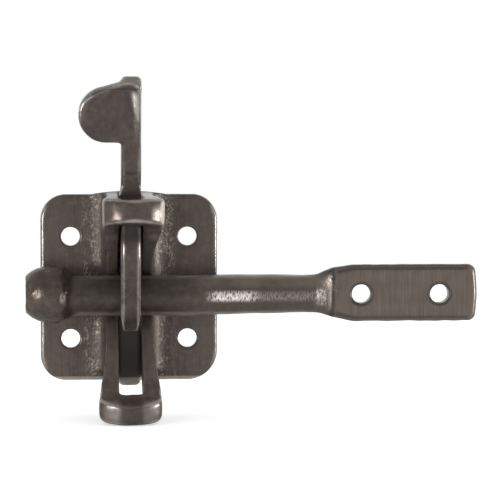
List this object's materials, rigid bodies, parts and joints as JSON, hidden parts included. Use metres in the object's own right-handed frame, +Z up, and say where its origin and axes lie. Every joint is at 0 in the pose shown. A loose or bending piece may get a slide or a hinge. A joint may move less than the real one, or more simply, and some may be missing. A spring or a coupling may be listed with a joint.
{
  "type": "gate latch",
  "caption": "Cast gate latch: post plate with slotted, flared jaws, a hinged thumb lever whose pawl holds the bar, and a ball-ended round striker bar forged flat for screws.",
  "frame": {"origin": "middle of the post plate's back face, on the post's surface", "axes": "+Z up, +X along the striker bar towards the gate, +Y into the post, so the latch faces -Y"},
  "size_m": [0.1426, 0.0419, 0.1074],
  "materials": {
    "cast_catch": "dark brown patina, brushed on the plate, rough as cast beside the jaws, rubbed bright along the edges",
    "cast_lever": "dark brown patina, satin on the thumb pad, rubbed bright along the edges",
    "pin_steel": "dark patina, hammered smooth ends",
    "forged_bar": "dark brown patina, rubbed satin on the round bar, brushed on the flat end"
  },
  "bodies": {
    "catch": {"catch_body": "cast_catch", "pivot_pin": "pin_steel", "striker_bar": "forged_bar"},
    "lever": {"thumb_lever": "cast_lever"}
  },
  "joints": [
    {"name": "lever_hinge", "type": "hinge", "parent": "catch", "child": "lever", "pos_m": [0, -0.0095, 0.013], "axis": [-1, 0, 0], "range_deg": [0, 53]}
  ]
}
